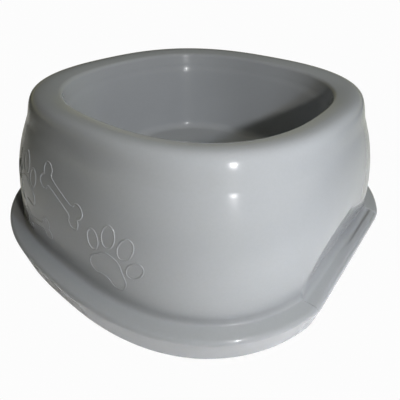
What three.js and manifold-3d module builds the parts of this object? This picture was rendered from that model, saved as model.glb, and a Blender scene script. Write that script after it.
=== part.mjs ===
// Square pet bowl: one moulded plastic bowl body standing on four push-in rubber feet.
// Units mm, +Z up, origin at the centre of the footprint on the floor.
import * as THREE from 'three';
import { mergeVertices } from 'three/addons/utils/BufferGeometryUtils.js';
import Module from 'manifold-3d';

// ---- driving dimensions ----
const HEIGHT = 82.4;             // top of the rim above the floor
const BASE_Z = 1.0;              // lower edge of the flange wall above the floor
const BASE_A = 103.6;            // half width of the flange at its lower edge
const LEDGE_A = 105.7;           // half width of the flange at its upper edge
const LEDGE_Z = 16.3;            // top face of the flange ledge
const EDGE_R = 1.8;              // rounding between ledge and flange wall
const LEDGE_IN_A = 98.3;         // half width where the ledge meets the fillet
const BODY_FOOT_A = 96.0;        // half width of the body at the top of the fillet
const BODY_FOOT_Z = 20.2;
const BODY_PULL = [[93.9, 46.0], [91.0, 57.1]];  // half width, height: control points of the body side
const CREASE_A = 83.75;          // half width of the crease under the rim
const CREASE_Z = 71.3;
const RIM_PULL = [[81.6, 78.2], [80.9, 82.4]];   // control points of the outer side of the rim band
const RIM_TOP_A = 76.1;          // crest of the rim
const BAND_PULL = [[73.5, 82.4], [71.3, 81.8]];  // control points of the sloping top of the rim band
const BAND_IN_A = 68.6;          // inner edge of the band
const BAND_IN_Z = 81.0;
const RIM_IN_A = 66.9;           // inner side of the rim band
const RIM_IN_Z = 78.8;
const RIM_IN_R = 2.3;            // rounding between the band and the inner side
const STEP_A = 66.45;            // faint step in the inner side
const STEP_Z = 72.2;
const BASIN_TOP_A = 65.75;       // basin wall just below the step
const BASIN_TOP_Z = 70.0;
const BASIN_LOW_A = 63.0;        // basin wall at the top of the floor radius
const BASIN_FLOOR_Z = 28.0;
const BASIN_FLOOR_R = 5.0;
const WALL = 2.4;                // moulded wall thickness
const GRIP_HALF = 43.6;          // half length of a grip
const GRIP_BASE_X = 99.45;       // straight outer wall of a grip at its lower edge
const GRIP_CREST_X = 98.2;       // crest of the outer lip of a grip
const GRIP_CREST_Z = 15.8;
const GRIP_EDGE_R = 2.8;         // rounding between the lip and the outer wall
const GRIP_Z = 15.3;             // bottom of the trough behind the lip
const GRIP_X = 91.6;             // back wall of the recess where it is deepest
const GRIP_X_Z = 19.0;
const GRIP_RISE = [1.6, 23, 1.6];  // the back wall comes forward by 1.6 over the next 23 of height, power 1.6
const GRIP_TOP = 48.0;           // above the arch where the back wall runs out into the body side
const FOOT_XY = 71.0;            // foot axes from both centre planes
const BOSS_R = 7.6;
const BOSS_Z = 2.6;              // lower face of a boss
const BOSS_TOP = 24.0;           // closed upper face of a boss
const HEAD_R = 6.0;              // rubber foot head
const HEAD_H = 2.3;
const STEM_R = 3.0;              // rubber foot stem
const STEM_TOP = 9.6;
const GAP = 0.3;                 // clearance between a foot and its boss
const SEG = 72;                  // points round each cross-section

const wasm = await Module();
wasm.setup();

function toManifold(geometry) {
  const g = geometry.clone();
  g.deleteAttribute('normal');
  if (g.getAttribute('uv')) g.deleteAttribute('uv');
  const m = mergeVertices(g, 1e-5);
  return new wasm.Manifold(new wasm.Mesh({
    numProp: 3,
    vertProperties: new Float32Array(m.getAttribute('position').array),
    triVerts: new Uint32Array(m.index.array),
  }));
}

function toGeometry(solid) {
  const mesh = solid.getMesh();
  const g = new THREE.BufferGeometry();
  const p = new Float32Array(mesh.numVert * 3);
  for (let i = 0; i < mesh.numVert; i += 1) {
    for (let k = 0; k < 3; k += 1) p[3 * i + k] = mesh.vertProperties[mesh.numProp * i + k];
  }
  g.setAttribute('position', new THREE.BufferAttribute(p, 3));
  g.setIndex(new THREE.BufferAttribute(new Uint32Array(mesh.triVerts), 1));
  const flat = g.toNonIndexed();
  flat.computeVertexNormals();
  return flat;
}

// rounded-square cross-section |x/a|^n + |y/a|^n = 1 at height z
function ring(a, n, z) {
  const pts = [];
  for (let i = 0; i < SEG; i += 1) {
    const t = (2 * Math.PI * (i + 0.5)) / SEG;
    const c = Math.cos(t);
    const s = Math.sin(t);
    const r = a * (Math.abs(c) ** n + Math.abs(s) ** n) ** (-1 / n);
    pts.push([r * c, r * s, z]);
  }
  return pts;
}

// closed solid through a sequence of rings, capped at both ends
function loft(rings) {
  const count = rings[0].length;
  const pos = [];
  const index = [];
  for (const r of rings) for (const p of r) pos.push(p[0], p[1], p[2]);
  for (let k = 0; k + 1 < rings.length; k += 1) {
    for (let i = 0; i < count; i += 1) {
      const j = (i + 1) % count;
      const a = k * count + i;
      const b = k * count + j;
      const c = (k + 1) * count + j;
      const d = (k + 1) * count + i;
      index.push(a, b, c, a, c, d);
    }
  }
  for (const [k, flip] of [[0, true], [rings.length - 1, false]]) {
    let cx = 0;
    let cy = 0;
    for (const p of rings[k]) { cx += p[0] / count; cy += p[1] / count; }
    const centre = pos.length / 3;
    pos.push(cx, cy, rings[k][0][2]);
    for (let i = 0; i < count; i += 1) {
      const a = k * count + i;
      const b = k * count + ((i + 1) % count);
      if (flip) index.push(centre, b, a); else index.push(centre, a, b);
    }
  }
  const g = new THREE.BufferGeometry();
  g.setAttribute('position', new THREE.Float32BufferAttribute(pos, 3));
  g.setIndex(index);
  return g;
}

const lerp = (a, b, t) => a + (b - a) * t;

// points of a cubic curve from p to q, with their cross-section exponents, at the fractions ts
function curve(p, pull, q, n0, n1, ts) {
  const v = (k) => new THREE.Vector2(k[0], k[1]);
  const c = new THREE.CubicBezierCurve(v(p), v(pull[0]), v(pull[1]), v(q));
  return ts.map((t) => {
    const k = c.getPoint(t);
    return [k.x, lerp(n0, n1, t), k.y];
  });
}

const FOOT_POINT = [BODY_FOOT_A, BODY_FOOT_Z];
const CREASE_POINT = [CREASE_A, CREASE_Z];
const CREST_POINT = [RIM_TOP_A, HEIGHT];
const BAND_POINT = [BAND_IN_A, BAND_IN_Z];

// outer skin: flange wall, ledge, fillet, body side, crease, rim band, basin wall, basin floor
function outerProfile() {
  const p = [];
  p.push([BASE_A - 0.5, 2.52, BASE_Z], [BASE_A, 2.52, BASE_Z + 0.6]);
  for (const t of [0, 45, 90]) {
    const r = (t * Math.PI) / 180;
    p.push([LEDGE_A - EDGE_R + EDGE_R * Math.cos(r), 2.53, LEDGE_Z - EDGE_R + EDGE_R * Math.sin(r)]);
  }
  p.push([LEDGE_IN_A, 2.6, LEDGE_Z]);
  p.push([LEDGE_IN_A - 1.5, 2.68, LEDGE_Z + 1.1]);
  p.push(...curve(FOOT_POINT, BODY_PULL, CREASE_POINT, 2.75, 2.52, [0, 0.2, 0.4, 0.55, 0.7, 0.85, 1]));
  p.push(...curve(CREASE_POINT, RIM_PULL, CREST_POINT, 2.53, 2.475, [0.3, 0.5, 0.65, 0.8, 0.9, 1]));
  p.push(...curve(CREST_POINT, BAND_PULL, BAND_POINT, 2.475, 2.52, [0.35, 0.7, 1]));
  for (const t of [130, 155, 180]) {
    const r = (t * Math.PI) / 180;
    p.push([RIM_IN_A + RIM_IN_R + RIM_IN_R * Math.cos(r), 2.5, RIM_IN_Z + RIM_IN_R * Math.sin(r)]);
  }
  p.push([STEP_A, 2.45, STEP_Z]);
  p.push([BASIN_TOP_A, 2.42, BASIN_TOP_Z]);
  p.push([BASIN_LOW_A, 2.33, BASIN_FLOOR_Z + BASIN_FLOOR_R]);
  for (const t of [30, 60, 90]) {
    const r = (t * Math.PI) / 180;
    p.push([BASIN_LOW_A - BASIN_FLOOR_R * (1 - Math.cos(r)), 2.33,
      BASIN_FLOOR_Z + BASIN_FLOOR_R * (1 - Math.sin(r))]);
  }
  return p;
}

// open space under the moulding: the outer skin set back by the wall thickness
function innerProfile() {
  const p = [];
  p.push([BASE_A - WALL + 0.2, 2.52, BASE_Z - 3]);
  p.push([LEDGE_A - WALL - 0.3, 2.53, LEDGE_Z - WALL - 0.8]);
  p.push([LEDGE_A - WALL - 1.2, 2.53, LEDGE_Z - WALL]);
  p.push([LEDGE_IN_A - WALL - 0.2, 2.62, LEDGE_Z - WALL + 0.6]);
  p.push(...curve(FOOT_POINT, BODY_PULL, CREASE_POINT, 2.75, 2.52, [0, 0.3, 0.6, 0.85])
    .map(([a, n, z]) => [a - WALL - 0.004 * (z - BODY_FOOT_Z), n, z]));
  p.push([CREASE_A - WALL - 0.35, 2.52, CREASE_Z]);
  p.push([CREASE_A - WALL - 1.05, 2.52, CREASE_Z + 2.2]);
  p.push([RIM_TOP_A + 2.9, 2.5, HEIGHT - WALL - 3.0]);
  p.push([RIM_TOP_A + 2.0, 2.49, HEIGHT - WALL - 1.4]);
  p.push([RIM_TOP_A + 0.8, 2.48, HEIGHT - WALL - 0.4]);
  p.push([RIM_TOP_A - 0.5, 2.475, HEIGHT - WALL - 0.05]);
  p.push([BAND_IN_A + 4.6, 2.48, BAND_IN_Z - WALL + 1.2]);
  p.push([BAND_IN_A + 2.4, 2.49, BAND_IN_Z - WALL + 0.6]);
  p.push([RIM_IN_A + WALL + 0.6, 2.49, RIM_IN_Z - 0.6]);
  p.push([RIM_IN_A + WALL, 2.49, RIM_IN_Z - 1.8]);
  p.push([STEP_A + WALL, 2.45, STEP_Z]);
  p.push([BASIN_TOP_A + WALL, 2.42, BASIN_TOP_Z]);
  p.push([BASIN_LOW_A + WALL, 2.33, BASIN_FLOOR_Z + BASIN_FLOOR_R]);
  p.push([BASIN_LOW_A + WALL - 2.2, 2.33, BASIN_FLOOR_Z - WALL + 2.2]);
  p.push([BASIN_LOW_A + WALL - 7.4, 2.33, BASIN_FLOOR_Z - WALL]);
  return p;
}

const stack = (profile) => toManifold(loft(profile.map(([a, n, z]) => ring(a, n, z))));

// cross-section, x and z, of the volume cleared for a grip: outside the straight flange wall, over the
// lip and its trough and in front of the hollowed back wall
function gripSection(grow) {
  const p = [[GRIP_CREST_X + 40, BASE_Z - 6], [GRIP_BASE_X - grow - 0.6, BASE_Z - 6], [GRIP_BASE_X - grow, BASE_Z]];
  const r = GRIP_EDGE_R - grow;
  const cz = GRIP_CREST_Z - GRIP_EDGE_R;
  for (const t of [0, 30, 60, 90]) {
    const w = (t * Math.PI) / 180;
    p.push([GRIP_CREST_X + r * Math.cos(w), cz + r * Math.sin(w)]);
  }
  p.push([96.2, GRIP_Z + 0.32 - grow], [94.6, GRIP_Z + 0.05 - grow], [93.2 - 0.3 * grow, GRIP_Z - grow]);
  p.push([92.3 - 0.7 * grow, GRIP_Z + 0.5 - 0.7 * grow], [91.75 - grow, GRIP_Z + 1.8], [GRIP_X - grow, GRIP_X_Z]);
  for (const z of [25, 31, 37, 42, GRIP_TOP]) {
    p.push([GRIP_X - grow + GRIP_RISE[0] * ((z - GRIP_X_Z) / GRIP_RISE[1]) ** GRIP_RISE[2], z]);
  }
  p.push([GRIP_CREST_X + 40, GRIP_TOP]);
  return p.reverse();
}

function gripTool(sx, grow) {
  const half = GRIP_HALF + grow;
  const shape = new THREE.Shape(gripSection(grow).map(([x, z]) => new THREE.Vector2(x, z)));
  const g = new THREE.ExtrudeGeometry(shape, { depth: 2 * half, bevelEnabled: false, steps: 1 });
  g.rotateX(Math.PI / 2);
  g.translate(0, half, 0);
  if (sx < 0) g.rotateZ(Math.PI);
  return toManifold(g);
}

let outer = stack(outerProfile());
let hollow = stack(innerProfile());
for (const sx of [1, -1]) {
  outer = outer.subtract(gripTool(sx, 0));
  hollow = hollow.subtract(gripTool(sx, WALL));
}
let body = outer.subtract(hollow);

// bosses for the feet, hanging in the corners of the flange
for (const [sx, sy] of [[1, 1], [-1, 1], [-1, -1], [1, -1]]) {
  const boss = new THREE.CylinderGeometry(BOSS_R, BOSS_R, BOSS_TOP - BOSS_Z, 32);
  boss.rotateX(Math.PI / 2);
  boss.translate(sx * FOOT_XY, sy * FOOT_XY, (BOSS_TOP + BOSS_Z) / 2);
  const bore = new THREE.CylinderGeometry(STEM_R + GAP, STEM_R + GAP, STEM_TOP + GAP, 24);
  bore.rotateX(Math.PI / 2);
  bore.translate(sx * FOOT_XY, sy * FOOT_XY, (STEM_TOP + GAP) / 2);
  body = body.add(outer.intersect(toManifold(boss))).subtract(toManifold(bore));
}

const group = new THREE.Group();
group.name = 'square_pet_bowl';

const plastic = new THREE.MeshStandardMaterial({ color: 0xa9adb0, roughness: 0.22, metalness: 0 });
const bodyMesh = new THREE.Mesh(toGeometry(body), plastic);
bodyMesh.name = 'bowl_body';
group.add(bodyMesh);

// rubber foot: low domed head with a rounded edge and a push-in stem
function footGeometry() {
  const pts = [
    [0, 0], [HEAD_R - 0.9, 0], [HEAD_R - 0.25, 0.3], [HEAD_R, 0.9], [HEAD_R, HEAD_H - 0.3],
    [HEAD_R - 0.3, HEAD_H], [STEM_R, HEAD_H], [STEM_R - 0.15, HEAD_H + 1.4], [STEM_R, STEM_TOP - 2.6],
    [STEM_R - 0.8, STEM_TOP], [0, STEM_TOP],
  ].map(([r, z]) => new THREE.Vector2(r, z));
  const g = new THREE.LatheGeometry(pts, 32);
  g.rotateX(Math.PI / 2);
  return g;
}

const footNames = { '-1,-1': 'foot_front_left', '1,-1': 'foot_front_right', '-1,1': 'foot_back_left', '1,1': 'foot_back_right' };
for (const [sx, sy] of [[-1, -1], [1, -1], [-1, 1], [1, 1]]) {
  const g = toGeometry(toManifold(footGeometry()));
  g.translate(sx * FOOT_XY, sy * FOOT_XY, 0);
  const rubber = new THREE.MeshStandardMaterial({ color: 0x2c2d2f, roughness: 0.75, metalness: 0 });
  const mesh = new THREE.Mesh(g, rubber);
  mesh.name = footNames[`${sx},${sy}`];
  group.add(mesh);
}

export default group;
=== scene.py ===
import math

import bpy
import numpy as np
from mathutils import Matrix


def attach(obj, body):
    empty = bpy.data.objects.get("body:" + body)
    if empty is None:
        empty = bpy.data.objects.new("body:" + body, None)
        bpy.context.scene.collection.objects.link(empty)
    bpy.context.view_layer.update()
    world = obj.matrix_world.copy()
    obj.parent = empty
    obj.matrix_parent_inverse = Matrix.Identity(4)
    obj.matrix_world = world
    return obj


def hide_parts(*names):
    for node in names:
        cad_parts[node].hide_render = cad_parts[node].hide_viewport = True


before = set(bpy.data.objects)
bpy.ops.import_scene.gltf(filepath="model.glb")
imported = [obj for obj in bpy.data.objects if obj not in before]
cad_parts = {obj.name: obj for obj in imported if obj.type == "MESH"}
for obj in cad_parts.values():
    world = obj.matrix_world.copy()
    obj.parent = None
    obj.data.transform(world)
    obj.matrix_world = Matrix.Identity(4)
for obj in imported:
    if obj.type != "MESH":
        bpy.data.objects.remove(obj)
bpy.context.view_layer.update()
scene = bpy.context.scene
MM = 0.001

# ---------------------------------------------------------------- dimensions, mm (as in the CAD)
HEIGHT = 82.4
BASE_Z, BASE_A = 1.0, 103.6
LEDGE_A, LEDGE_Z, EDGE_R, LEDGE_IN_A = 105.66, 16.3, 1.8, 98.3
BODY_FOOT_A, BODY_FOOT_Z = 96.0, 20.2
BODY_PULL = ((93.9, 46.0), (90.3, 57.1))
CREASE_A, CREASE_Z = 83.75, 71.3
RIM_START, RIM_PULL = (83.42, 72.35), ((81.4, 79.4), (80.95, 82.4))
RIM_TOP_A = 76.1
BAND_PULL = ((73.5, 82.4), (71.3, 81.8))
RIM_IN_A, RIM_IN_Z, RIM_IN_R = 66.9, 78.8, 2.3
STEP_A, STEP_Z = 66.45, 72.2
BASIN_TOP_A, BASIN_TOP_Z, BASIN_LOW_A, BASIN_FLOOR_Z, BASIN_FLOOR_R = 65.75, 70.0, 63.0, 28.0, 5.0
WALL = 2.4
GRIP_HALF, GRIP_BASE_X, GRIP_CREST_X, GRIP_CREST_Z, GRIP_EDGE_R = 43.6, 99.45, 98.2, 15.8, 2.8
GRIP_Z, GRIP_X, GRIP_X_Z, GRIP_RISE = 15.6, 91.6, 19.0, (1.6, 23.0, 1.6)
GRIP_SCOOP, GRIP_SCOOP_Z = 2.2, 5.0
FOOT_XY, BOSS_R, BOSS_Z, BOSS_TOP = 71.0, 7.6, 2.6, 24.0
HEAD_R, HEAD_H, STEM_R, STEM_TOP, GAP = 6.0, 2.3, 3.0, 9.6, 0.3


def lerp(a, b, t):
    return a + (b - a) * t


def smooth(t):
    t = np.clip(t, 0.0, 1.0)
    return t * t * (3 - 2 * t)


def soft_min(a, b, k):
    h = np.clip(0.5 + 0.5 * (b - a) / k, 0.0, 1.0)
    return b * (1 - h) + a * h - k * h * (1 - h)


def bezier(p0, p1, p2, t):
    return tuple((1 - t) ** 2 * a + 2 * t * (1 - t) * b + t * t * c for a, b, c in zip(p0, p1, p2))


def cubic(p0, p1, p2, p3, t):
    return tuple((1 - t) ** 3 * a + 3 * t * (1 - t) ** 2 * b + 3 * t * t * (1 - t) * c + t ** 3 * d
                 for a, b, c, d in zip(p0, p1, p2, p3))


# ---------------------------------------------------------------- points round a cross-section
# Seen from above, one quarter of |x/a|^n + |y/a|^n = 1. Near the +X side every ring has the same y
# steps, close together where the grips end, so that the ends of the grips run along edge loops.
Y_STEPS = np.unique(np.concatenate([
    np.linspace(0, 40, 21), np.linspace(40, 42.4, 4), np.linspace(42.4, 44.8, 11),
    np.linspace(44.8, 47.4, 4), np.linspace(47.4, 51.0, 4)]).round(5))
REST = 48
QUARTER = len(Y_STEPS) - 1 + REST
COUNT = 4 * QUARTER


def quarter(a, n, s):
    y1 = Y_STEPS * s
    x1 = a * (1 - (y1 / a) ** n) ** (1 / n)
    t0 = math.atan2(y1[-1], x1[-1])
    t = np.linspace(t0, math.pi / 2, 400)
    r = a * (np.abs(np.cos(t)) ** n + np.abs(np.sin(t)) ** n) ** (-1 / n)
    px, py = r * np.cos(t), r * np.sin(t)
    px[-1] = 0.0
    length = np.concatenate([[0], np.cumsum(np.hypot(np.diff(px), np.diff(py)))])
    u = np.linspace(0, length[-1], REST + 1)[1:]
    return np.concatenate([x1, np.interp(u, length, px)]), np.concatenate([y1, np.interp(u, length, py)])


def whole(x, y):
    # quarter (x, y) with k = 0 on +X and k = QUARTER on +Y, to a full counter-clockwise ring
    q1 = np.stack([x[:-1], y[:-1]], 1)
    q2 = np.stack([-x[:0:-1], y[:0:-1]], 1)
    q3 = np.stack([-x[:-1], -y[:-1]], 1)
    q4 = np.stack([x[:0:-1], -y[:0:-1]], 1)
    return np.concatenate([q1, q2, q3, q4])


def scale_of(a, z):
    return 1.0 if z < 71.0 and a > 84.0 else a / 84.1


# ---------------------------------------------------------------- profile rows: (kind, a, n, z, t)
def rows_outer():
    rows = []
    for a, z in [(101.9, 1.0), (102.7, 1.0), (103.2, 1.08), (103.5, 1.3), (BASE_A, 1.7)]:
        rows.append(("lip", a, 2.52, z, 0))
    top = LEDGE_Z - EDGE_R
    for i in range(1, 9):
        t = i / 8
        rows.append(("wall", lerp(BASE_A, LEDGE_A, t), lerp(2.52, 2.53, t), lerp(1.7, top, t), t))
    for i in range(1, 9):
        t = math.pi / 2 * i / 8
        rows.append(("edge", LEDGE_A - EDGE_R + EDGE_R * math.cos(t), 2.53, top + EDGE_R * math.sin(t), i / 8))
    for i in range(1, 8):
        t = i / 7
        rows.append(("ledge", lerp(LEDGE_A - EDGE_R, LEDGE_IN_A, t), lerp(2.53, 2.6, t), LEDGE_Z, t))
    foot, crease = (BODY_FOOT_A, BODY_FOOT_Z), (CREASE_A, CREASE_Z)
    (pa, pz), pull2 = BODY_PULL
    inner = BODY_FOOT_A + (BODY_FOOT_Z - LEDGE_Z) * (BODY_FOOT_A - pa) / (pz - BODY_FOOT_Z)
    for i in range(1, 11):
        t = i / 10
        a, z = bezier((LEDGE_IN_A, LEDGE_Z), (inner, LEDGE_Z), foot, t)
        rows.append(("fillet", a, lerp(2.6, 2.75, t), z, t))
    last, rim_from = 0.95, 0.09
    for i in range(1, 45):
        t = last * i / 44
        a, z = cubic(foot, (pa, pz), pull2, crease, t)
        rows.append(("body", a, lerp(2.75, 2.52, t), z, t))
    low_end = rows[-1][1], rows[-1][3]
    for i in range(1, 8):
        t = i / 7
        a, z = bezier(low_end, crease, cubic(RIM_START, *RIM_PULL, (RIM_TOP_A, HEIGHT), rim_from), t)
        rows.append(("crease", a, lerp(2.52, 2.53, t), z, t))
    for i in range(1, 23):
        t = lerp(rim_from, 1, i / 22)
        a, z = cubic(RIM_START, *RIM_PULL, (RIM_TOP_A, HEIGHT), t)
        rows.append(("rim", a, lerp(2.53, 2.475, smooth(t)), z, t))
    r = math.radians(106)
    edge = RIM_IN_A + RIM_IN_R + RIM_IN_R * math.cos(r), RIM_IN_Z + RIM_IN_R * math.sin(r)
    for i in range(1, 11):
        t = i / 10
        a, z = cubic((RIM_TOP_A, HEIGHT), *BAND_PULL, edge, t)
        rows.append(("rim", a, lerp(2.475, 2.52, t), z, t))
    for i in range(1, 10):
        r = math.radians(lerp(106, 180, i / 9))
        rows.append(("rim", RIM_IN_A + RIM_IN_R + RIM_IN_R * math.cos(r), lerp(2.52, 2.5, i / 9),
                     RIM_IN_Z + RIM_IN_R * math.sin(r), 1))
    for i in range(1, 5):
        t = i / 5
        rows.append(("rim", lerp(RIM_IN_A, STEP_A, t), lerp(2.5, 2.45, t), lerp(RIM_IN_Z, STEP_Z, t), 1))
    for i in range(0, 6):
        t = i / 5
        a, z = bezier((66.54, 73.5), (66.44, 72.1), (66.28, 71.1), t)
        rows.append(("basin", a, lerp(2.46, 2.44, t), z, 0))
    for i in range(1, 5):
        t = i / 4
        a, z = bezier((66.28, 71.1), (66.14, 70.2), (66.02, 68.8), t)
        rows.append(("basin", a, lerp(2.44, 2.41, t), z, 0))
    low = BASIN_FLOOR_Z + BASIN_FLOOR_R
    for i in range(1, 21):
        t = i / 20
        rows.append(("basin", lerp(66.02, BASIN_LOW_A, t), lerp(2.41, 2.33, t), lerp(68.8, low, t), t))
    for i in range(1, 9):
        t = math.pi / 2 * i / 8
        rows.append(("floor", BASIN_LOW_A - BASIN_FLOOR_R * (1 - math.cos(t)), 2.33,
                     BASIN_FLOOR_Z + BASIN_FLOOR_R * (1 - math.sin(t)), 0))
    for a in (55, 50, 43, 35, 26, 17, 9, 3):
        rows.append(("floor", a, lerp(2.0, 2.33, a / 58), BASIN_FLOOR_Z, 0))
    return rows


def rows_inner():
    # underside, from the lower lip up inside the skin, over the rim and down round the basin
    rows = [("lip", 101.5, 2.52, 1.15, 0), ("lip", 101.3, 2.52, 1.6, 0)]
    for i in range(1, 6):
        t = i / 5
        rows.append(("wall", lerp(101.3, 102.95, t), lerp(2.52, 2.53, t), lerp(1.6, 13.1, t), t))
    rows.append(("edge", 102.8, 2.53, 13.5, 0.4))
    rows.append(("edge", 102.3, 2.53, 13.85, 0.8))
    rows.append(("edge", 102.0, 2.53, 13.9, 1))
    for i in range(1, 4):
        t = i / 3
        rows.append(("ledge", lerp(102.0, 96.2, t), lerp(2.53, 2.6, t), 13.9, t))
    for i in range(1, 5):
        t = i / 4
        a, z = bezier((96.2, 13.9), (94.0, 13.9), (BODY_FOOT_A - WALL, BODY_FOOT_Z), t)
        rows.append(("fillet", a, lerp(2.6, 2.75, t), z, t))
    for i in range(1, 13):
        t = 0.95 * i / 12
        a, z = cubic((BODY_FOOT_A, BODY_FOOT_Z), *BODY_PULL, (CREASE_A, CREASE_Z), t)
        rows.append(("body", a - WALL - 0.004 * (z - BODY_FOOT_Z), lerp(2.75, 2.52, t), z, t))
    for a, n, z in [(81.0, 2.52, 71.3), (80.3, 2.52, 73.5), (79.7, 2.51, 75.2), (79.0, 2.5, 77.0), (78.1, 2.49, 78.6),
                    (76.9, 2.48, 79.6), (75.6, 2.475, 79.95), (73.2, 2.48, 79.8), (71.0, 2.49, 79.2), (69.9, 2.49, 78.2),
                    (69.3, 2.49, 77.0), (68.9, 2.45, 72.2), (68.15, 2.42, 70.0)]:
        rows.append(("rim", a, n, z, 0))
    low = BASIN_FLOOR_Z + BASIN_FLOOR_R
    for i in range(1, 7):
        t = i / 6
        rows.append(("basin", lerp(68.15, BASIN_LOW_A + WALL, t), lerp(2.42, 2.33, t), lerp(70.0, low, t), t))
    r = BASIN_FLOOR_R + WALL
    for i in range(1, 6):
        t = math.pi / 2 * i / 5
        rows.append(("floor", BASIN_LOW_A + WALL - r * (1 - math.cos(t)), 2.33, low - r * math.sin(t), 0))
    z = BASIN_FLOOR_Z - WALL
    for a in (50, 38, 26, 14, 4):
        rows.append(("floor", a, lerp(2.0, 2.33, a / 58), z, 0))
    return rows


def grip_wall(z, y, deep):
    # hollowed back wall of a grip recess, which runs out into the body side along an arch; towards the
    # deeper end of the trough the arch is lower and the wall overhangs more
    u = np.clip((z - GRIP_X_Z) / GRIP_RISE[1], 0, None)
    rise = GRIP_RISE[0] if deep == 0 else GRIP_RISE[0] * np.exp(0.066 * np.minimum(y, 40.0))
    return GRIP_X + rise * u ** GRIP_RISE[2] + GRIP_SCOOP * np.exp(-(z - GRIP_Z) / GRIP_SCOOP_Z)


# across the trough behind the outer lip of a grip: x, z below the crest, and how much the deeper end lowers it
TROUGH_X = (97.3, 96.42, 96.12, 95.8, 95.5, 95.25, 95.0)
TROUGH_Z = (15.79, 15.76, 15.74, 15.69, 15.65, 15.62, 15.6)
TROUGH_DEEP = (0, 0.05, 0.85, 1, 1, 1, 1)


def quadrant(row, side, deep):
    kind, a, n, z, t = row
    x, y = quarter(a, n, scale_of(a, z))
    zz = np.full_like(x, z)
    if kind in ("lip", "wall", "edge", "ledge", "fillet", "body") and z < 71:
        half = GRIP_HALF + side
        w = 1 - smooth((y - (half - 0.42)) / 0.84)
        d = deep * smooth((y - 3.0) / 10.0)
        re, cz = GRIP_EDGE_R - side, GRIP_CREST_Z - GRIP_EDGE_R
        if kind == "lip":
            off = abs((BASE_A if side == 0 else 101.3) - a)
            px = soft_min(x, np.full_like(x, GRIP_BASE_X - off if side == 0 else GRIP_BASE_X - side + off), 1.2)
            pz = zz
        elif kind == "wall":
            px = soft_min(x, np.full_like(x, lerp(GRIP_BASE_X + 0.05 - side, GRIP_CREST_X + re, t)), 1.2)
            pz = np.full_like(x, lerp(1.7, cz, t))
        elif kind == "edge":
            r = math.pi / 2 * t
            px = soft_min(x, np.full_like(x, GRIP_CREST_X + re * math.cos(r)), 1.2)
            pz = np.full_like(x, cz + re * math.sin(r))
        elif kind == "ledge":
            k = np.arange(7) + 1
            px = np.full_like(x, np.interp(7 * t, k, TROUGH_X) - 0.3 * side * t)
            pz = np.interp(7 * t, k, TROUGH_Z) - side - d * np.interp(7 * t, k, TROUGH_DEEP)
        elif kind == "fillet":
            foot = GRIP_X + GRIP_SCOOP * math.exp(-(GRIP_X_Z - GRIP_Z) / GRIP_SCOOP_Z)
            lean = (foot - GRIP_X) / GRIP_SCOOP_Z * (GRIP_X_Z - GRIP_Z)
            q = bezier((TROUGH_X[-1] - 0.3 * side, GRIP_Z - side), (foot + lean - side, GRIP_Z - 0.7 * side),
                       (foot - side, GRIP_X_Z), t)
            px, pz = np.full_like(x, q[0]), q[1] - d * (1 - t) ** 2
        else:
            pz = zz - (BODY_FOOT_Z - GRIP_X_Z) * (1 - smooth((z - BODY_FOOT_Z) / 14.0))
            px = soft_min(x, grip_wall(pz, y, deep) - side, 0.45)
        wide = 1 - smooth((y - 45.0) / 5.5)
        x = lerp(x, px, wide if kind in ("lip", "wall", "edge") else w)
        zz = lerp(zz, pz, w)
    return x, y, zz


def row_points(row, side):
    """One ring of the moulding, mm. side is 0 for the outer skin and WALL for the underside."""
    xf, y, zf = quadrant(row, side, 0.8 if side == 0 else 0.0)
    xn, y, zn = quadrant(row, side, 0.0)
    far, near = whole(xf, y), whole(xn, y)
    q = len(xf) - 1
    ring = np.concatenate([far[:2 * q], near[2 * q:]])
    zr = np.concatenate([zf[:-1], zf[:0:-1], zn[:-1], zn[:0:-1]])
    return np.column_stack([ring, zr])


def sheet_mesh():
    outer, inner = rows_outer(), rows_inner()
    rings = [row_points(r, WALL) for r in reversed(inner)] + [row_points(r, 0) for r in outer]
    pts = np.concatenate(rings)
    n_rows = len(rings)
    first, last = len(pts), len(pts) + 1
    pts = np.vstack([pts, [0, 0, BASIN_FLOOR_Z - WALL], [0, 0, BASIN_FLOOR_Z]])
    faces = []
    for k in range(n_rows - 1):
        a, b = k * COUNT, (k + 1) * COUNT
        for i in range(COUNT):
            j = (i + 1) % COUNT
            faces.append((a + i, a + j, b + j, b + i))
    top = (n_rows - 1) * COUNT
    for i in range(COUNT):
        j = (i + 1) % COUNT
        faces.append((first, j, i))
        faces.append((last, top + i, top + j))
    return pts, faces


# ---------------------------------------------------------------- surface of the body side
_BODY = [r for r in rows_outer() if r[0] == "body"]
_BZ = np.array([r[3] for r in _BODY])
_BA = np.array([r[1] for r in _BODY])
_BN = np.array([r[2] for r in _BODY])


def front_y(x, z):
    a, n = np.interp(z, _BZ, _BA), np.interp(z, _BZ, _BN)
    return -a * (1 - (np.abs(x) / a) ** n) ** (1 / n)


def front_frame(x, z):
    e = 0.2
    p = np.array([x, front_y(x, z), z])
    du = np.array([2 * e, front_y(x + e, z) - front_y(x - e, z), 0])
    dv = np.array([0, front_y(x, z + e) - front_y(x, z - e), 2 * e])
    nrm = np.cross(du, dv)
    return p, nrm / np.linalg.norm(nrm)


def surface_height(x, y):
    """How high the outer skin is above the point (x, y) under the moulding, a little inside the wall."""
    best = 0.0
    for kind, a, n, z, t in rows_outer():
        if kind in ("wall", "edge", "ledge", "fillet", "body"):
            if (abs(x) / (a - 1.3)) ** n + (abs(y) / (a - 1.3)) ** n < 1:
                best = z
            elif z > LEDGE_Z - 2:
                break
    return best - 1.3


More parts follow.
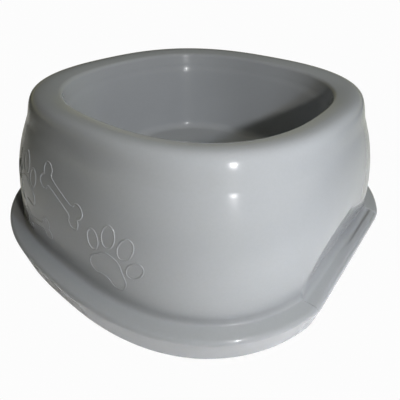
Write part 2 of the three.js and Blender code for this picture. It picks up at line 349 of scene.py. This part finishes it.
# ---------------------------------------------------------------- raised outlines on the front
def catmull(points, closed, step):
    p = np.array(points, float)
    n = len(p)
    out = []
    spans = n if closed else n - 1
    for i in range(spans):
        if closed:
            a, b, c, d = p[(i - 1) % n], p[i], p[(i + 1) % n], p[(i + 2) % n]
        else:
            a, b, c, d = p[max(i - 1, 0)], p[i], p[i + 1], p[min(i + 2, n - 1)]
        m = max(2, int(np.linalg.norm(c - b) / step))
        for j in range(m):
            t = j / m
            out.append(0.5 * ((2 * b) + (c - a) * t + (2 * a - 5 * b + 4 * c - d) * t * t
                              + (3 * b - a - 3 * c + d) * t ** 3))
    if not closed:
        out.append(p[-1])
    return np.array(out)


def turned(points, degrees, size, at):
    r = math.radians(degrees)
    m = np.array([[math.cos(r), -math.sin(r)], [math.sin(r), math.cos(r)]])
    return (np.array(points, float) * size) @ m.T + np.array(at)


def oval(cx, cy, rx, ry, tilt, n=12):
    t = np.arange(n) * 2 * math.pi / n
    pts = np.stack([rx * np.cos(t), ry * np.sin(t)], 1)
    r = math.radians(tilt)
    m = np.array([[math.cos(r), -math.sin(r)], [math.sin(r), math.cos(r)]])
    return pts @ m.T + np.array([cx, cy])


PAW_PAD = [(0, 0.9), (3.6, 0.2), (6.6, -3.2), (9.2, -6.6), (8.8, -10.6), (5.2, -12.2), (2.2, -10.9), (0, -10.5),
           (-2.2, -10.9), (-5.2, -12.2), (-8.8, -10.6), (-9.2, -6.6), (-6.6, -3.2), (-3.6, 0.2)]
PAW_TOES = [oval(-10.6, 1.6, 2.9, 4.4, 24), oval(-4.2, 7.6, 3.1, 4.9, 8),
            oval(4.2, 7.6, 3.1, 4.9, -8), oval(10.6, 1.6, 2.9, 4.4, -24)]
BONE = [(-9, 2.6), (0, 2.2), (9, 2.6), (10.4, 5.6), (13.6, 6.9), (16.6, 5.0), (16.4, 1.8), (15.0, 0), (16.4, -1.8),
        (16.6, -5.0), (13.6, -6.9), (10.4, -5.6), (9, -2.6), (0, -2.2), (-9, -2.6), (-10.4, -5.6), (-13.6, -6.9),
        (-16.6, -5.0), (-16.4, -1.8), (-15.0, 0), (-16.4, 1.8), (-16.6, 5.0), (-13.6, 6.9), (-10.4, 5.6)]


def motif_paths():
    """(points, closed) in mm on the front: x across, z up. Paw prints and bones, as outlines."""
    out = []
    for at, tilt, size in [((-37.0, 48.5), 12, 1.02), ((29.0, 38.0), -16, 1.06)]:
        out.append((turned(PAW_PAD, tilt, size, at), True))
        out += [(turned(t, tilt, size, at), True) for t in PAW_TOES]
    for at, tilt, size in [((-3.5, 53.0), -24, 0.92), ((-26.0, 29.0), 12, 0.80)]:
        out.append((turned(BONE, tilt, size, at), True))
    return out


def relief_mesh(half=0.42, high=0.26, sink=0.14):
    """Rounded ridges that follow the paths on the front of the body, each a closed solid."""
    section = [(-1.0, -sink), (-1.0, 0.0), (-0.72, 0.52 * high), (-0.38, 0.88 * high), (0.0, high),
               (0.38, 0.88 * high), (0.72, 0.52 * high), (1.0, 0.0), (1.0, -sink)]
    m = len(section)
    pts, faces = [], []
    for path, closed in motif_paths():
        line = catmull(path, closed, 0.75)
        n = len(line)
        base = len(pts)
        for i in range(n):
            if closed:
                d = line[(i + 1) % n] - line[i - 1]
            else:
                d = line[min(i + 1, n - 1)] - line[max(i - 1, 0)]
            d = d / np.linalg.norm(d)
            p, nrm = front_frame(*line[i])
            e = 0.3
            q, _ = front_frame(*(line[i] + d * e))
            tan = (q - p) / np.linalg.norm(q - p)
            side = np.cross(tan, nrm)
            for s, h in section:
                pts.append(p + side * s * half + nrm * h)
        for i in range(n if closed else n - 1):
            a, b = base + i * m, base + ((i + 1) % n) * m
            for j in range(m):
                k = (j + 1) % m
                faces.append((a + j, b + j, b + k, a + k))
        if not closed:
            faces.append(tuple(base + j for j in range(m)))
            faces.append(tuple(base + (n - 1) * m + j for j in reversed(range(m))))
    return np.array(pts), faces


# ---------------------------------------------------------------- bosses and small marks underneath
def boss_mesh(sx, sy):
    cx, cy = sx * FOOT_XY, sy * FOOT_XY
    n = 48
    bore = STEM_R + GAP
    rows = [(bore, 8.0), (bore, BOSS_Z + 0.5), (bore + 0.15, BOSS_Z + 0.15), (bore + 0.5, BOSS_Z),
            (BOSS_R - 0.7, BOSS_Z), (BOSS_R - 0.2, BOSS_Z + 0.2), (BOSS_R, BOSS_Z + 0.7), (BOSS_R, 6.0), (BOSS_R, 9.0),
            (BOSS_R, 12.0), (BOSS_R, "top"), (BOSS_R * 0.85, "top"), (BOSS_R * 0.6, "top"), (BOSS_R * 0.3, "top")]
    pts, faces = [], []
    rows = [(0.0, STEM_TOP + GAP), (bore - 0.8, STEM_TOP + GAP), (bore, STEM_TOP + GAP - 0.5)] + rows
    heads = {}
    for k, (r, z) in enumerate(rows):
        count = 1 if r == 0 else n
        heads[k] = len(pts)
        for i in range(count):
            t = 2 * math.pi * i / n
            x, y = cx + r * math.cos(t), cy + r * math.sin(t)
            pts.append((x, y, min(BOSS_TOP, surface_height(x, y)) if z == "top" else z))
    end = len(pts)
    pts.append((cx, cy, min(BOSS_TOP, surface_height(cx, cy))))
    for i in range(n):
        j = (i + 1) % n
        faces.append((heads[0], heads[1] + j, heads[1] + i))
        faces.append((end, heads[len(rows) - 1] + i, heads[len(rows) - 1] + j))
    for k in range(1, len(rows) - 1):
        for i in range(n):
            j = (i + 1) % n
            faces.append((heads[k] + i, heads[k] + j, heads[k + 1] + j, heads[k + 1] + i))
    return np.array(pts), faces


def button_mesh(cx, cy, z, r, deep):
    """Small round mark that stands down from the underside of the basin."""
    n = 32
    rows = [(r, z + 0.4), (r, z - deep * 0.6), (r * 0.93, z - deep * 0.93), (r * 0.8, z - deep)]
    pts, faces = [], []
    for rr, zz in rows:
        for i in range(n):
            t = 2 * math.pi * i / n
            pts.append((cx + rr * math.cos(t), cy + rr * math.sin(t), zz))
    for k in range(len(rows) - 1):
        for i in range(n):
            j = (i + 1) % n
            faces.append((k * n + i, (k + 1) * n + i, (k + 1) * n + j, k * n + j))
    c0 = len(pts)
    pts += [(cx, cy, z + 0.4), (cx, cy, z - deep)]
    for i in range(n):
        j = (i + 1) % n
        faces.append((c0, i, j))
        faces.append((c0 + 1, (len(rows) - 1) * n + j, (len(rows) - 1) * n + i))
    return np.array(pts), faces


def lathe_mesh(profile, n, cx, cy):
    pts, faces, heads = [], [], []
    for r, z in profile:
        heads.append(len(pts))
        if r == 0:
            pts.append((cx, cy, z))
        else:
            for i in range(n):
                t = 2 * math.pi * i / n
                pts.append((cx + r * math.cos(t), cy + r * math.sin(t), z))
    for k in range(len(profile) - 1):
        a, b = heads[k], heads[k + 1]
        for i in range(n):
            j = (i + 1) % n
            if profile[k][0] == 0:
                faces.append((a, b + j, b + i))
            elif profile[k + 1][0] == 0:
                faces.append((a + i, a + j, b))
            else:
                faces.append((a + i, a + j, b + j, b + i))
    return np.array(pts), faces


def make_object(name, parts, material):
    pts, faces, start = [], [], 0
    for p, f in parts:
        pts.append(np.asarray(p, float) * MM)
        faces += [tuple(i + start for i in face) for face in f]
        start += len(p)
    mesh = bpy.data.meshes.new(name)
    mesh.from_pydata(np.concatenate(pts).tolist(), [], faces)
    mesh.validate()
    mesh.materials.append(material)
    mesh.polygons.foreach_set("use_smooth", [True] * len(mesh.polygons))
    mesh.update()
    obj = bpy.data.objects.new(name, mesh)
    scene.collection.objects.link(obj)
    return obj


# ---------------------------------------------------------------- materials
def node(tree, kind, at, **values):
    n = tree.nodes.new(kind)
    n.location = at
    for k, v in values.items():
        if k in n.inputs:
            n.inputs[k].default_value = v
        else:
            setattr(n, k, v)
    return n


def ramp(tree, at, stops):
    n = tree.nodes.new("ShaderNodeValToRGB")
    n.location = at
    e = n.color_ramp.elements
    while len(e) < len(stops):
        e.new(0.5)
    for item, (pos, col) in zip(e, stops):
        item.position = pos
        item.color = (*col, 1) if isinstance(col, tuple) else (col, col, col, 1)
    return n


def plastic_material():
    m = bpy.data.materials.new("moulded_plastic")
    m.use_nodes = True
    t = m.node_tree
    t.nodes.clear()
    out = node(t, "ShaderNodeOutputMaterial", (1400, 0))
    bsdf = node(t, "ShaderNodeBsdfPrincipled", (1100, 0))
    bsdf.inputs["IOR"].default_value = 1.49
    bsdf.inputs["Coat Weight"].default_value = 0.30
    bsdf.inputs["Anisotropic"].default_value = 0.75
    bsdf.inputs["Anisotropic Rotation"].default_value = 0.25
    bsdf.inputs["Coat Roughness"].default_value = 0.06
    bsdf.inputs["Subsurface Weight"].default_value = 0.0
    t.links.new(bsdf.outputs[0], out.inputs[0])
    co = node(t, "ShaderNodeTexCoord", (-1200, 0))
    obj = co.outputs["Object"]

    # colour: broad flow marks in the resin, and a fine fleck
    flow = node(t, "ShaderNodeTexNoise", (-900, 400), Scale=14.0, Detail=3.0, Roughness=0.55, Distortion=0.6)
    fleck = node(t, "ShaderNodeTexNoise", (-900, 150), Scale=900.0, Detail=2.0, Roughness=0.5)
    t.links.new(obj, flow.inputs["Vector"])
    t.links.new(obj, fleck.inputs["Vector"])
    tint = ramp(t, (-650, 400), [(0.30, (0.231, 0.241, 0.250)), (0.70, (0.242, 0.253, 0.262))])
    t.links.new(flow.outputs["Fac"], tint.inputs["Fac"])
    fine = ramp(t, (-650, 150), [(0.40, 0.985), (0.60, 1.0)])
    t.links.new(fleck.outputs["Fac"], fine.inputs["Fac"])
    mix = node(t, "ShaderNodeMix", (-300, 350), data_type="RGBA", blend_type="MULTIPLY")
    mix.inputs[0].default_value = 1.0
    t.links.new(tint.outputs["Color"], mix.inputs[6])
    t.links.new(fine.outputs["Color"], mix.inputs[7])
    t.links.new(mix.outputs[2], bsdf.inputs["Base Color"])

    # roughness: smudges, and hairline scratches
    smudge = node(t, "ShaderNodeTexNoise", (-900, -150), Scale=34.0, Detail=4.0, Roughness=0.6)
    t.links.new(obj, smudge.inputs["Vector"])
    rough = node(t, "ShaderNodeMapRange", (-600, -150))
    rough.inputs["From Min"].default_value, rough.inputs["From Max"].default_value = 0.3, 0.75
    rough.inputs["To Min"].default_value, rough.inputs["To Max"].default_value = 0.19, 0.235
    t.links.new(smudge.outputs["Fac"], rough.inputs["Value"])
    stretch = node(t, "ShaderNodeMapping", (-1000, -450))
    stretch.inputs["Rotation"].default_value = (0.4, 0.7, 0.3)
    stretch.inputs["Scale"].default_value = (1.0, 60.0, 16.0)
    t.links.new(obj, stretch.inputs["Vector"])
    hair = node(t, "ShaderNodeTexNoise", (-800, -450), Scale=45.0, Detail=2.0, Roughness=0.5)
    t.links.new(stretch.outputs[0], hair.inputs["Vector"])
    line = ramp(t, (-560, -450), [(0.68, 0.0), (0.72, 1.0)])
    t.links.new(hair.outputs["Fac"], line.inputs["Fac"])
    add = node(t, "ShaderNodeMath", (-250, -250), operation="MULTIPLY_ADD")
    t.links.new(line.outputs["Color"], add.inputs[0])
    add.inputs[1].default_value = 0.02
    t.links.new(rough.outputs[0], add.inputs[2])
    t.links.new(add.outputs[0], bsdf.inputs["Roughness"])

    # surface: slight waviness of the moulding and a fine grain
    wave = node(t, "ShaderNodeTexNoise", (-300, -600), Scale=55.0, Detail=2.0, Roughness=0.5)
    grain = node(t, "ShaderNodeTexNoise", (-300, -850), Scale=1600.0, Detail=2.0, Roughness=0.6)
    t.links.new(obj, wave.inputs["Vector"])
    t.links.new(obj, grain.inputs["Vector"])
    b1 = node(t, "ShaderNodeBump", (300, -500))
    b1.inputs["Strength"].default_value = 0.25
    b1.inputs["Distance"].default_value = 0.0001
    t.links.new(wave.outputs["Fac"], b1.inputs["Height"])
    b2 = node(t, "ShaderNodeBump", (600, -600))
    b2.inputs["Strength"].default_value = 0.10
    b2.inputs["Distance"].default_value = 0.00002
    t.links.new(grain.outputs["Fac"], b2.inputs["Height"])
    t.links.new(b1.outputs[0], b2.inputs["Normal"])
    t.links.new(b2.outputs[0], bsdf.inputs["Normal"])
    return m


def rubber_material():
    m = bpy.data.materials.new("foot_rubber")
    m.use_nodes = True
    t = m.node_tree
    t.nodes.clear()
    out = node(t, "ShaderNodeOutputMaterial", (900, 0))
    bsdf = node(t, "ShaderNodeBsdfPrincipled", (600, 0))
    t.links.new(bsdf.outputs[0], out.inputs[0])
    co = node(t, "ShaderNodeTexCoord", (-900, 0))
    dust = node(t, "ShaderNodeTexNoise", (-600, 200), Scale=260.0, Detail=4.0, Roughness=0.65)
    grain = node(t, "ShaderNodeTexNoise", (-600, -250), Scale=2400.0, Detail=3.0, Roughness=0.6)
    t.links.new(co.outputs["Object"], dust.inputs["Vector"])
    t.links.new(co.outputs["Object"], grain.inputs["Vector"])
    col = ramp(t, (-300, 250), [(0.35, (0.022, 0.022, 0.024)), (0.68, (0.060, 0.059, 0.058))])
    t.links.new(dust.outputs["Fac"], col.inputs["Fac"])
    t.links.new(col.outputs["Color"], bsdf.inputs["Base Color"])
    rough = node(t, "ShaderNodeMapRange", (-300, 0))
    rough.inputs["To Min"].default_value, rough.inputs["To Max"].default_value = 0.62, 0.88
    t.links.new(dust.outputs["Fac"], rough.inputs["Value"])
    t.links.new(rough.outputs[0], bsdf.inputs["Roughness"])
    b = node(t, "ShaderNodeBump", (200, -250))
    b.inputs["Strength"].default_value = 0.35
    b.inputs["Distance"].default_value = 0.00006
    t.links.new(grain.outputs["Fac"], b.inputs["Height"])
    t.links.new(b.outputs[0], bsdf.inputs["Normal"])
    return m


plastic = plastic_material()
rubber = rubber_material()

# ---------------------------------------------------------------- the bowl
parts = [sheet_mesh(), relief_mesh()]
for sx in (1, -1):
    for sy in (1, -1):
        parts.append(boss_mesh(sx, sy))
parts.append(button_mesh(0, 0, BASIN_FLOOR_Z - WALL, 2.2, 0.7))
for sx, sy in [(1, 0), (-1, 0), (0, 1), (0, -1)]:
    parts.append(button_mesh(34 * sx, 34 * sy, BASIN_FLOOR_Z - WALL, 4.0, 0.15))
bowl = make_object("bowl_moulding", parts, plastic)
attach(bowl, "root")
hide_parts("bowl_body")

# ---------------------------------------------------------------- the feet
FOOT = [(0, 0.0), (1.2, 0.0), (1.5, 0.28), (1.9, 0.28), (2.2, 0.0), (3.0, 0.0), (3.3, 0.28), (3.7, 0.28), (4.0, 0.0),
        (5.0, 0.0), (5.35, 0.06), (5.7, 0.26), (5.92, 0.6), (5.99, 1.0), (5.99, 1.9), (5.9, 2.15), (5.7, 2.3),
        (3.25, 2.3), (3.0, 2.42), (2.9, 2.7), (2.85, 3.6), (2.95, 6.2), (3.0, 7.0), (2.85, 7.6), (2.2, 9.3), (1.9, 9.55),
        (1.6, 9.6), (0, 9.6)]
for sx, sy, name in [(-1, -1, "front_left"), (1, -1, "front_right"), (-1, 1, "back_left"), (1, 1, "back_right")]:
    foot = make_object("rubber_" + name, [lathe_mesh(FOOT, 48, sx * FOOT_XY, sy * FOOT_XY)], rubber)
    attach(foot, "root")
    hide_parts("foot_" + name)

# ---------------------------------------------------------------- floor
# The pale floor that bounces light up to the bowl, and plain white walls all round that only the camera sees.
def stage_mesh(name, verts, faces, build):
    mat = bpy.data.materials.new(name)
    mat.use_nodes = True
    build(mat.node_tree.nodes["Principled BSDF"].inputs)
    fm = bpy.data.meshes.new(name)
    fm.from_pydata(verts, [], faces)
    fm.materials.append(mat)
    o = bpy.data.objects.new(name, fm)
    scene.collection.objects.link(o)
    return o


def pale(i):
    i["Base Color"].default_value = (0.8, 0.8, 0.8, 1)
    i["Roughness"].default_value = 0.9
    i["Specular IOR Level"].default_value = 0.1


def white(i):
    i["Base Color"].default_value = (0, 0, 0, 1)
    i["Specular IOR Level"].default_value = 0.0
    i["Emission Color"].default_value = (1.0, 1.0, 1.0, 1)
    i["Emission Strength"].default_value = 0.975


S = 6.0
floor = stage_mesh("floor", [(-S, -S, 0), (S, -S, 0), (S, S, 0), (-S, S, 0)], [(0, 1, 2, 3)], pale)
floor.visible_camera = False
floor.visible_shadow = False
sheet = stage_mesh("backdrop", [(x, y, z) for z in (-S, S) for y in (-S, S) for x in (-S, S)],
                   [(0, 1, 3, 2), (4, 6, 7, 5), (0, 4, 5, 1), (2, 3, 7, 6), (0, 2, 6, 4), (1, 5, 7, 3)], white)
sheet.visible_diffuse = False
sheet.visible_glossy = False
sheet.visible_shadow = False

# ---------------------------------------------------------------- camera
AZ, EL, DIST, ROLL, FOCAL, OX, OY = 38.079, 29.173, 2.033, 1.108, 337.104, -0.0065, -0.1088
UNIT = 0.105


def turn(v, axis, angle):
    axis = axis / np.linalg.norm(axis)
    return v * math.cos(angle) + np.cross(axis, v) * math.sin(angle) + axis * np.dot(axis, v) * (1 - math.cos(angle))


a, e = math.radians(AZ), math.radians(EL)
back = np.array([math.sin(a) * math.cos(e), -math.cos(a) * math.cos(e), math.sin(e)])
pos = (np.array([0, 0, 0.3]) + back * DIST) * UNIT
fwd = -back
right = np.cross(fwd, [0, 0, 1.0])
right /= np.linalg.norm(right)
up = np.cross(right, fwd)
fwd, right = turn(fwd, up, OX), turn(right, up, OX)
fwd, up = turn(fwd, right, OY), turn(up, right, OY)
r = math.radians(ROLL)
right, up = right * math.cos(r) + up * math.sin(r), -right * math.sin(r) + up * math.cos(r)
cam_data = bpy.data.cameras.new("camera")
cam_data.sensor_width = 36.0
cam_data.lens = 36.0 * FOCAL / 400.0
cam_data.clip_start, cam_data.clip_end = 0.01, 50
cam = bpy.data.objects.new("camera", cam_data)
scene.collection.objects.link(cam)
from mathutils import Matrix, Vector
cam.matrix_world = Matrix([
    [right[0], up[0], -fwd[0], pos[0]],
    [right[1], up[1], -fwd[1], pos[1]],
    [right[2], up[2], -fwd[2], pos[2]],
    [0, 0, 0, 1]])
scene.camera = cam


# ---------------------------------------------------------------- light
def area(name, at, target, size, power, colour, shine=False):
    d = bpy.data.lights.new(name, "AREA")
    d.energy = power
    d.color = colour
    d.shape = "DISK"
    d.size = size
    o = bpy.data.objects.new(name, d)
    scene.collection.objects.link(o)
    o.visible_glossy = shine
    o.visible_diffuse = not shine
    o.location = at
    o.rotation_mode = "QUATERNION"
    o.rotation_quaternion = (Vector(target) - Vector(at)).to_track_quat("-Z", "Y")
    return o


area("key_near", (0.205, -0.139, 0.166), (0.0, 0.0, 0.05), 0.014, 0.48, (1.0, 0.952, 0.88))
area("key_far", (0.275, -0.095, 0.215), (0.0, 0.0, 0.05), 0.022, 0.60, (0.744, 0.826, 1.0))
area("right", (0.30, 0.28, 0.30), (0.0, 0.0, 0.05), 0.05, 0.17, (1.0, 0.963, 0.889))
area("top", (0.12, 0.01, 0.53), (0.0, 0.0, 0.05), 0.13, 0.68, (1.0, 0.955, 0.80))
area("back", (-0.10, 0.45, 0.30), (0.0, 0.0, 0.05), 0.06, 0.60, (0.93, 1.0, 0.75))
area("left", (-0.36, 0.14, 0.06), (0.0, 0.0, 0.04), 0.06, 0.34, (1.0, 0.98, 0.96))
area("under", (0.06, -0.06, -0.40), (0.0, 0.0, 0.03), 0.30, 1.3, (1.0, 1.0, 1.0))
area("glint", (0.206, -0.139, 0.167), (0.0, 0.0, 0.05), 0.008, 0.17, (1.0, 1.0, 1.0), True)

world = bpy.data.worlds.new("world")
scene.world = world
world.use_nodes = True
wt = world.node_tree
bg = wt.nodes["Background"]
direction = node(wt, "ShaderNodeTexCoord", (-900, 0))
split = node(wt, "ShaderNodeSeparateXYZ", (-700, 0))
height = node(wt, "ShaderNodeMapRange", (-500, 0))
height.inputs["From Min"].default_value, height.inputs["From Max"].default_value = -1.0, 1.0
sky = ramp(wt, (-300, 0), [(0.5, 0.0), (0.501, (0.31, 0.30, 0.175)), (0.625, (0.004, 0.004, 0.003))])
wt.links.new(direction.outputs["Generated"], split.inputs[0])
wt.links.new(split.outputs["Z"], height.inputs["Value"])
wt.links.new(height.outputs[0], sky.inputs["Fac"])
wt.links.new(sky.outputs["Color"], bg.inputs["Color"])
bg.inputs["Strength"].default_value = 1.0

scene.view_settings.view_transform = "Standard"
scene.view_settings.look = "None"

bpy.context.view_layer.update()
